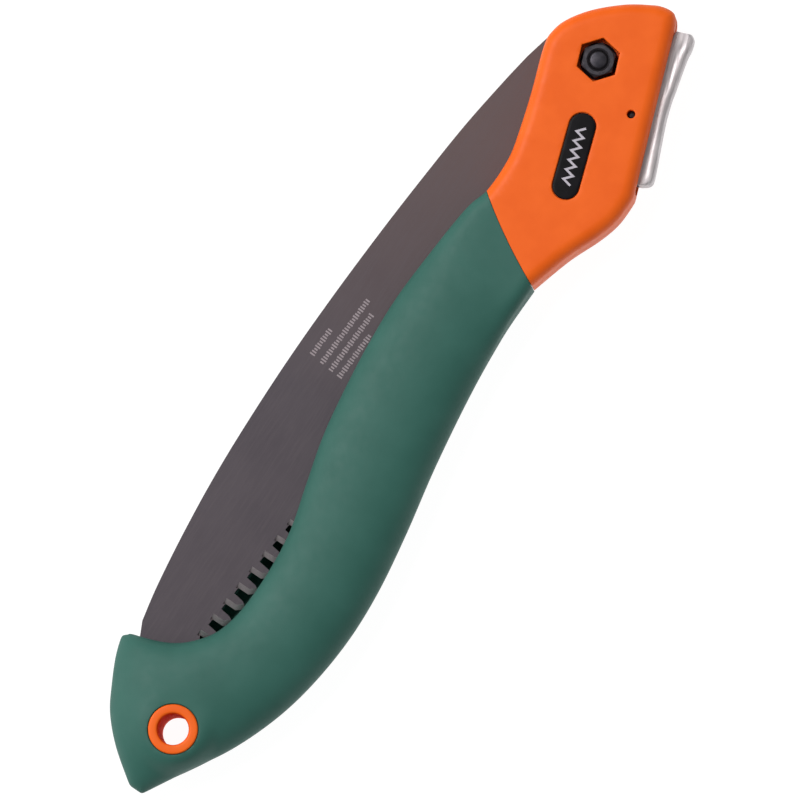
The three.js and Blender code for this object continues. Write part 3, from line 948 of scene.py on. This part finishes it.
BOLT_R, BOLT_ROOT_R, BOLT_HEAD_R, BOLT_TOP = 3.0, 2.62, 5.5, 9.9
THREAD_START = 4.7
NUT_FLATS, NUT_HIGH, NUT_BORE_R = 10, 5.0, 3.15


def pivot_bolt():
    seat = -CHEEK - 1.4
    bolt = driven_head("pivot_bolt_turned", AXIS, BOLT_HEAD_R, seat, seat - 3.6, 2.9, seat - 1.4)
    section = [(BOLT_R, seat - 0.4), (BOLT_R, THREAD_START - 0.1)]
    for turn in range(5):
        z = THREAD_START + turn
        section += [(BOLT_ROOT_R, z), (BOLT_R, z + 0.4), (BOLT_R, z + 0.55)]
    section += [(2.5, BOLT_TOP - 0.05), (2.3, BOLT_TOP)]
    combine(bolt, [rod("shank", AXIS, 48, section, BLACKENED)], "UNION")
    return settle(bolt, "handle", "pivot_bolt")


def pivot_nut():
    low = CHEEK + 0.1
    high, corner = low + NUT_HIGH, NUT_FLATS / math.sqrt(3)
    nut = prism("pivot_nut_turned", hexagon(corner), low, high, BLACKENED)
    chamfer = [(corner - 0.7, low - 0.001), (corner + 0.05, low + 0.5), (corner + 0.05, high - 0.6),
               (corner - 0.9, high + 0.001)]
    flange = [(6.05, low), (6.05, low + 0.7), (5.0, low + 1.4)]
    bore = [(NUT_BORE_R + 0.75, low - 0.1), (NUT_BORE_R, low + 0.65), (NUT_BORE_R, high - 0.65),
            (NUT_BORE_R + 0.75, high + 0.1)]
    combine(nut, [rod("chamfer", AXIS, 96, chamfer)], "INTERSECT")
    combine(nut, [rod("flange", AXIS, 96, flange)], "UNION")
    combine(nut, [rod("bore", AXIS, 64, bore)], "DIFFERENCE")
    return settle(nut, "handle", "pivot_nut", sharp=25)


def washer(name, node, inner, outer, low, high, material):
    soft = min(0.15, (high - low) / 4)
    profile = [(inner, low + soft), (inner + soft, low), (outer - soft, low), (outer, low + soft),
               (outer, high - soft), (outer - soft, high), (inner + soft, high), (inner, high - soft)]
    return settle(turned(name, AXIS, profile, material, 72), "handle", node, sharp=30)


pivot_bolt()
pivot_nut()
washer("bolt_washer_turned", "bolt_washer", 3.2, 6.0, -CHEEK - 1.2, -CHEEK - 0.15,
       BLACKENED)
washer("pivot_bushing_turned", "pivot_bushing", 3.2, 4.0, -1.6, 1.6, PRESSED)
washer("thrust_ring_front", "thrust_washer_front", 4.3, 8.0, 0.9, 1.5, ACETAL)
washer("thrust_ring_rear", "thrust_washer_rear", 4.3, 8.0, -1.5, -0.9, ACETAL)


# ---- blade ----

BLADE_BACK = [
    (-20, 22.1), (-40, 24.8), (-62, 26.7), (-84, 28.2), (-110, 29.4), (-135, 29.9), (-160, 29.5),
    (-180, 28.5), (-200, 26.6), (-218, 24.2), (-230, 21.9),
]
BLADE_TIP = [(-236.5, 18.8), (-239, 12.5), (-236.8, 6), (-230.5, -0.5)]
GULLET_LINE = [np.array(p, float) for p in ((-230, 4.6), (-150, -3.5), (-34, -9.5))]
FIRST_GULLET, TOOTH_PITCH, TOOTH_DEPTH = 5.3, 6.5, 6.2
TOOTH = [(0.17, 0), (0.22, 0.6), (0.6, 1), (0.8, 0.6), (0.83, 0)]  # shares of pitch and depth
FACETS = ((0, 1, 1, 0.7), (4, 3, -1, 0.7), (1, 2, 1, 0.3), (3, 2, -1, 0.3))  # corners, side, lead
FACET_WIDTH, FACET_CUT = 1.7, 0.8
TANG_R, TANG_BORE_R, TANG_START, TANG_END = 15.3, 4.2, -113, 92
NOTCH_DEPTH, NOTCH_HALF, NOTCH_FLOOR_HALF = 2.0, 7.5, 5  # the halves in degrees
LOCK_ANGLE, OPEN_ANGLE = -75, 152

TICK_ROWS = ((-128.8, 24.4, 11), (-129.4, 20.3, 26), (-129.8, 16.6, 23), (-130, 13.1, 18))
TICK_STEP, TICK_HALF, TICK_REACHES = 0.95, 0.26, (0.95, 0.62, 0.8)
TICK_SLOPE = math.radians(-2.5)
BOX_FACES = ((0, 1, 2, 3), (4, 5, 6, 7), (0, 1, 5, 4), (1, 2, 6, 5), (2, 3, 7, 6), (3, 0, 4, 7))


def gullet_line():
    """The curve that the teeth stand on, with the length up to each of its points."""
    t = np.linspace(0, 1, 1200)[:, None]
    a, b, c = GULLET_LINE
    points = (1 - t) ** 2 * a + 2 * t * (1 - t) * b + t**2 * c
    lengths = np.r_[0, np.cumsum(np.linalg.norm(np.diff(points, axis=0), axis=1))]
    return points, lengths


def teeth():
    """Each tooth's five corners, from the blade's tip towards the pivot."""
    points, lengths = gullet_line()
    for i in range(int((lengths[-1] - FIRST_GULLET) / TOOTH_PITCH)):
        corners = []
        for step, depth in TOOTH:
            place = FIRST_GULLET + (i + step) * TOOTH_PITCH
            p = np.array([np.interp(place, lengths, points[:, k]) for k in (0, 1)])
            q = np.array([np.interp(place + 0.5, lengths, points[:, k]) for k in (0, 1)])
            along = (q - p) / np.linalg.norm(q - p)
            corners.append(p + np.array([along[1], -along[0]]) * depth * TOOTH_DEPTH)
        yield corners


def notch(angle):
    floor = TANG_R - NOTCH_DEPTH
    return [polar(TANG_R, angle - NOTCH_HALF), polar(floor, angle - NOTCH_FLOOR_HALF),
            polar(floor, angle + NOTCH_FLOOR_HALF), polar(TANG_R, angle + NOTCH_HALF)]


def tang_arc(start, end):
    return [polar(TANG_R, a) for a in np.arange(start + 2, end, 4)]


def blade_outline():
    """Along the back and round the tip, back along the teeth, then round the tang."""
    open_notch = LOCK_ANGLE + OPEN_ANGLE
    outline = [(-2.5, 18.6), (-11, 20.6)] + curve(BLADE_BACK, 1.5) + curve(BLADE_TIP, 1.0)
    for corners in teeth():
        outline += [tuple(p) for p in corners]
    outline += [(-29, -10.4), polar(TANG_R, TANG_START)]
    outline += tang_arc(TANG_START, LOCK_ANGLE - NOTCH_HALF) + notch(LOCK_ANGLE)
    outline += tang_arc(LOCK_ANGLE + NOTCH_HALF, open_notch - NOTCH_HALF) + notch(open_notch)
    outline += tang_arc(open_notch + NOTCH_HALF, TANG_END) + [polar(TANG_R, TANG_END + 1)]
    return outline


def facet_cutter(first, last, inwards, side, lead):
    """A wedge that grinds one flank of a tooth, deepest at the tooth's edge."""
    along = (last - first) / np.linalg.norm(last - first)
    normal = np.array([-along[1], along[0]])
    if normal @ inwards < 0:
        normal = -normal
    slope = FACET_CUT / FACET_WIDTH
    before, past, above = 0.4, 0.6, 1.6
    corners = ((-before, BLADE_HALF - FACET_CUT - before * slope),
               (FACET_WIDTH + past, BLADE_HALF + past * slope), (-before, above))
    vertices = []
    for place in (first - along * lead, last + along * before):
        vertices += [(*(place + normal * n), side * z) for n, z in corners]
    return vertices, [(0, 1, 2), (3, 5, 4), (0, 3, 4, 1), (1, 4, 5, 2), (2, 5, 3, 0)]


def ground_facets():
    """The wedges, as cutters of which each holds one for every tooth."""
    for first, last, side, lead in FACETS:
        vertices, faces = [], []
        for corners in teeth():
            inwards = (corners[1] + corners[3]) / 2 - corners[first]
            made, sides = facet_cutter(corners[first], corners[last], inwards, side, lead)
            faces += [[len(vertices) + k for k in f] for f in sides]
            vertices += made
        yield mesh_object("facets", vertices, faces, GROUND)


def blade():
    plate = prism("blade_ground", blade_outline(), -BLADE_HALF, BLADE_HALF, COATING)
    combine(plate, [prism("bore", circle(AXIS, TANG_BORE_R, 64), -5, 5)], "DIFFERENCE")
    combine(plate, list(ground_facets()), "DIFFERENCE")
    settle(plate, "blade", "blade", sharp=20)
    for mark in blade_marks():
        mark.parent = plate
    return plate


def blade_marks():
    """Four rows of plain ticks on the front, where such a blade carries its print."""
    c, s = math.cos(TICK_SLOPE), math.sin(TICK_SLOPE)
    for row, (x, y, length) in enumerate(TICK_ROWS):
        vertices, faces = [], []
        for k in range(int(length / TICK_STEP)):
            reach = TICK_REACHES[(k * 2 + row) % 3]
            for level in (BLADE_HALF - 0.01, BLADE_HALF + 0.012):
                for a, b in ((-1, -1), (1, -1), (1, 1), (-1, 1)):
                    a, b = TICK_STEP * k + a * TICK_HALF, b * reach
                    vertices.append((x + c * a - s * b, y + s * a + c * b, level))
            faces += [[8 * k + i for i in f] for f in BOX_FACES]
        yield mesh_object(f"blade_ticks_{row + 1}", vertices, faces, BLADE_MARK)


blade()


# ---- lock lever ----

LEVER_HALF, SHEET, BEND = 4.8, 1.2, 1.5
LEVER_OUTER = [
    (-35.8, 22.4), (-35.5, 23.8), (-34.6, 25.1), (-33, 25.6), (-28, 25.5), (-15, 25.0), (-8, 25.2),
    (-3, 25.8), (7, 27.0), (10.5, 27.8), (13, 28.0), (14.2, 27.8), (15.0, 27.0),
]
LEVER_INNER = [
    (-35.8, 19.9), (-34.6, 19.3), (-28, 18.4), (-22, 17.2), (-19, 12.6), (-17.5, 11.2),
    (-14.8, 10.6), (-12.1, 11.2), (-10.6, 12.6), (-7, 17.2), (-2, 19.0), (4, 20.0), (13, 21.4),
    (15.0, 22.1),
]
# A shallow bead sunk in either flange, as (place across it, depth), and where it fades out.
BEAD = [(-1.1, 0), (-0.7, 0.1), (-0.35, 0.17), (0, 0.2), (0.35, 0.17), (0.7, 0.1), (1.1, 0)]
BEAD_FROM_TOP, BEAD_TAIL, BEAD_NOSE = 3.1, (-34.5, -31), (13.5, 9)
PIN_R, PIN_HOLE_R, RIVET_R = 1.2, 1.4, 1.5
PAWL_HALF, PAWL_GAP = 1.3, 0.3  # half thickness, and the nose's distance from the tang


def pin_holes(clearance):
    """Cutters for the lever pin's hole and the rivet's."""
    return [prism("pin_hole", circle(LEVER_PIN, PIN_HOLE_R, 32), -FAR, FAR),
            prism("rivet_hole", circle(RIVET, RIVET_R + clearance, 32), -FAR, FAR)]


def lever():
    """A channel of bent sheet: at each station its section runs flange, bend, web, bend, flange."""
    outer = np.array(curve(LEVER_OUTER, 0.4))
    inner = np.array(curve(LEVER_INNER, 0.4))
    stations = np.linspace(LEVER_OUTER[0][0], LEVER_OUTER[-1][0], 120)
    vertices = []
    for along in stations:
        sunk = ease(along, *BEAD_TAIL) * ease(along, *BEAD_NOSE)
        out = np.interp(along, outer[:, 0], outer[:, 1])
        edge = min(np.interp(along, inner[:, 0], inner[:, 1]), out - BEND - 0.2)
        for drop in (0.0, SHEET):
            radius, reach = BEND - drop, LEVER_HALF - drop
            section = [(edge, reach)]
            for k, (shift, dip) in enumerate(BEAD, 1):
                place = max(out - BEAD_FROM_TOP + shift, edge + 0.02 * k)
                section.append((place, reach - dip * sunk))
            for across, left in quarter(6):
                section.append((out - drop - radius * left, reach - radius * across))
            section += [(o, -z) for o, z in reversed(section)]
            if drop:
                section.reverse()
            vertices += [(*head_point(along, o), z) for o, z in section]
    count = len(vertices) // len(stations)
    faces = hoops(len(stations), count)
    for base in (0, len(vertices) - count):
        for i in range(count // 2 - 1):
            faces.append((base + i, base + i + 1, base + count - 2 - i, base + count - 1 - i))
    piece = mesh_object("lock_lever_bent", vertices, faces, PRESSED)
    combine(piece, pin_holes(0.1), "DIFFERENCE")
    return settle(piece, "lever", "lock_lever", sharp=40)


def pawl():
    """The plate whose nose stands just off the tang, in line with its notch."""
    tip = TANG_R + PAWL_GAP
    corners = [(1.2, 19), (0.3, tip), (-2.2, tip), (-4, 17), (-10, 15.2), (-12.5, 11.9), (-16.5, 11.6),
               (-18.5, 14.6), (-24, 16.6), (-24, 22.6), (-2, 22.6)]
    outline = softened([head_point(*p) for p in corners], 0.5, 2)
    plate = prism("lock_pawl_cut", outline, -PAWL_HALF, PAWL_HALF, PRESSED)
    combine(plate, pin_holes(0.2), "DIFFERENCE")
    return settle(plate, "lever", "lock_pawl")


def round_pin(name, centre, radius, half, body, node, material):
    """A plain pin with softened ends."""
    edge = [(radius - 0.25, half), (radius - 0.08, half - 0.08), (radius, half - 0.25)]
    section = [(r, -z) for r, z in edge] + edge[::-1]
    return settle(rod(name, centre, 32, section, material), body, node)


lever()
pawl()
round_pin("pawl_rivet_turned", RIVET, RIVET_R, LEVER_HALF,
          "lever", "pawl_rivet", PRESSED)
round_pin("lever_pin_turned", LEVER_PIN, PIN_R, HEAD_HALF - 2.4,
          "handle", "lever_pin", BLACKENED)


SPRING_ALONG, SPRING_R, WIRE_R = -29.5, 2.0, 0.32
SPRING_FOOT, SPRING_TOP = 14.6, 20.6


def lever_spring():
    """Five turns of wire from the pocket's floor towards the tail."""
    turns, steps, sides = 5, 40, 10
    total = turns * steps
    vertices = []
    for k in range(total + 1):
        turn = 2 * math.pi * k / steps
        out = SPRING_FOOT + (SPRING_TOP - SPRING_FOOT) * k / total
        for i in range(sides):
            a = 2 * math.pi * i / sides
            reach = SPRING_R + WIRE_R * math.cos(a)
            plan = head_point(SPRING_ALONG + reach * math.cos(turn), out + WIRE_R * math.sin(a))
            vertices.append((*plan, reach * math.sin(turn)))
    faces = hoops(total + 1, sides) + [range(sides), range(total * sides, (total + 1) * sides)]
    spring = mesh_object("lever_spring_wound", vertices, faces, WIRE)
    return settle(spring, "handle", "lever_spring")


lever_spring()


# ---- floor, lights and camera ----

GLOW, SKY = 0.96, 0.31
DISTANCE, ACROSS = 4.0, 0.25613  # of the camera, and the width that it sees there
AIM = (-125.44, -7.17)
LEAN = (3.6, 5.2)  # to the right and down in the picture, in degrees
PICTURE_TURN = math.radians(56)


def floor():
    """A pale table that glows a little, as a photographer's light table does."""
    bpy.ops.mesh.primitive_plane_add(size=8, location=(0, 0, CAD_BOX[0][2] - 0.0003))
    plane = bpy.context.object
    plane.name = "studio_floor"
    f = Finish("studio_floor", roughness=0.9, specular=0.1)
    own = f.shader.inputs
    own["Base Color"].default_value = (0.12, 0.12, 0.12, 1)
    own["Emission Color"].default_value = (1, 1, 1, 1)
    own["Emission Strength"].default_value = GLOW
    plane.data.materials.append(f.material)


def picture_place(right, up, towards):
    """A place, in metres from the saw's middle, by the picture's own directions."""
    c, s = math.cos(PICTURE_TURN), math.sin(PICTURE_TURN)
    return Vector((right * c + up * s, -right * s + up * c, towards))


def area_light(name, place, size, power):
    light = bpy.data.lights.new(name, "AREA")
    light.shape = "RECTANGLE"
    light.size, light.size_y = size
    light.energy = power
    lamp = bpy.data.objects.new(name, light)
    lamp.location = place
    lamp.rotation_euler = (-place).to_track_quat("-Z", "Y").to_euler()
    bpy.context.scene.collection.objects.link(lamp)


def camera():
    """Nearly straight down on the front side, from a little below and right in the picture."""
    scene = bpy.context.scene
    lens = bpy.data.cameras.new("view")
    lens.sensor_width = 36
    lens.lens = 36 * DISTANCE / ACROSS
    eye = bpy.data.objects.new("view", lens)
    target = PIVOT + Vector((*AIM, 0)) * MM
    right, down = (math.tan(math.radians(a)) for a in LEAN)
    away = picture_place(right, -down, 1).normalized()
    eye.location = target + away * DISTANCE
    up = picture_place(0, 1, 0)
    up = (up - away * up.dot(away)).normalized()
    eye.rotation_euler = Matrix((up.cross(away), up, away)).transposed().to_euler()
    scene.collection.objects.link(eye)
    scene.camera = eye


def world():
    scene = bpy.context.scene
    scene.world = bpy.data.worlds.new("studio")
    scene.world.use_nodes = True
    background = scene.world.node_tree.nodes["Background"]
    background.inputs["Color"].default_value = (1, 1, 1, 1)
    background.inputs["Strength"].default_value = SKY
    scene.view_settings.view_transform = "Standard"


floor()
area_light("key", picture_place(-0.62, 0.42, 1.2), (0.7, 0.7), 16.2)
area_light("side", picture_place(-1.4, 0.1, 0.4), (0.9, 0.9), 6)
area_light("fill", picture_place(0.9, 0.3, 1.0), (1.0, 1.0), 0.8)
camera()
world()
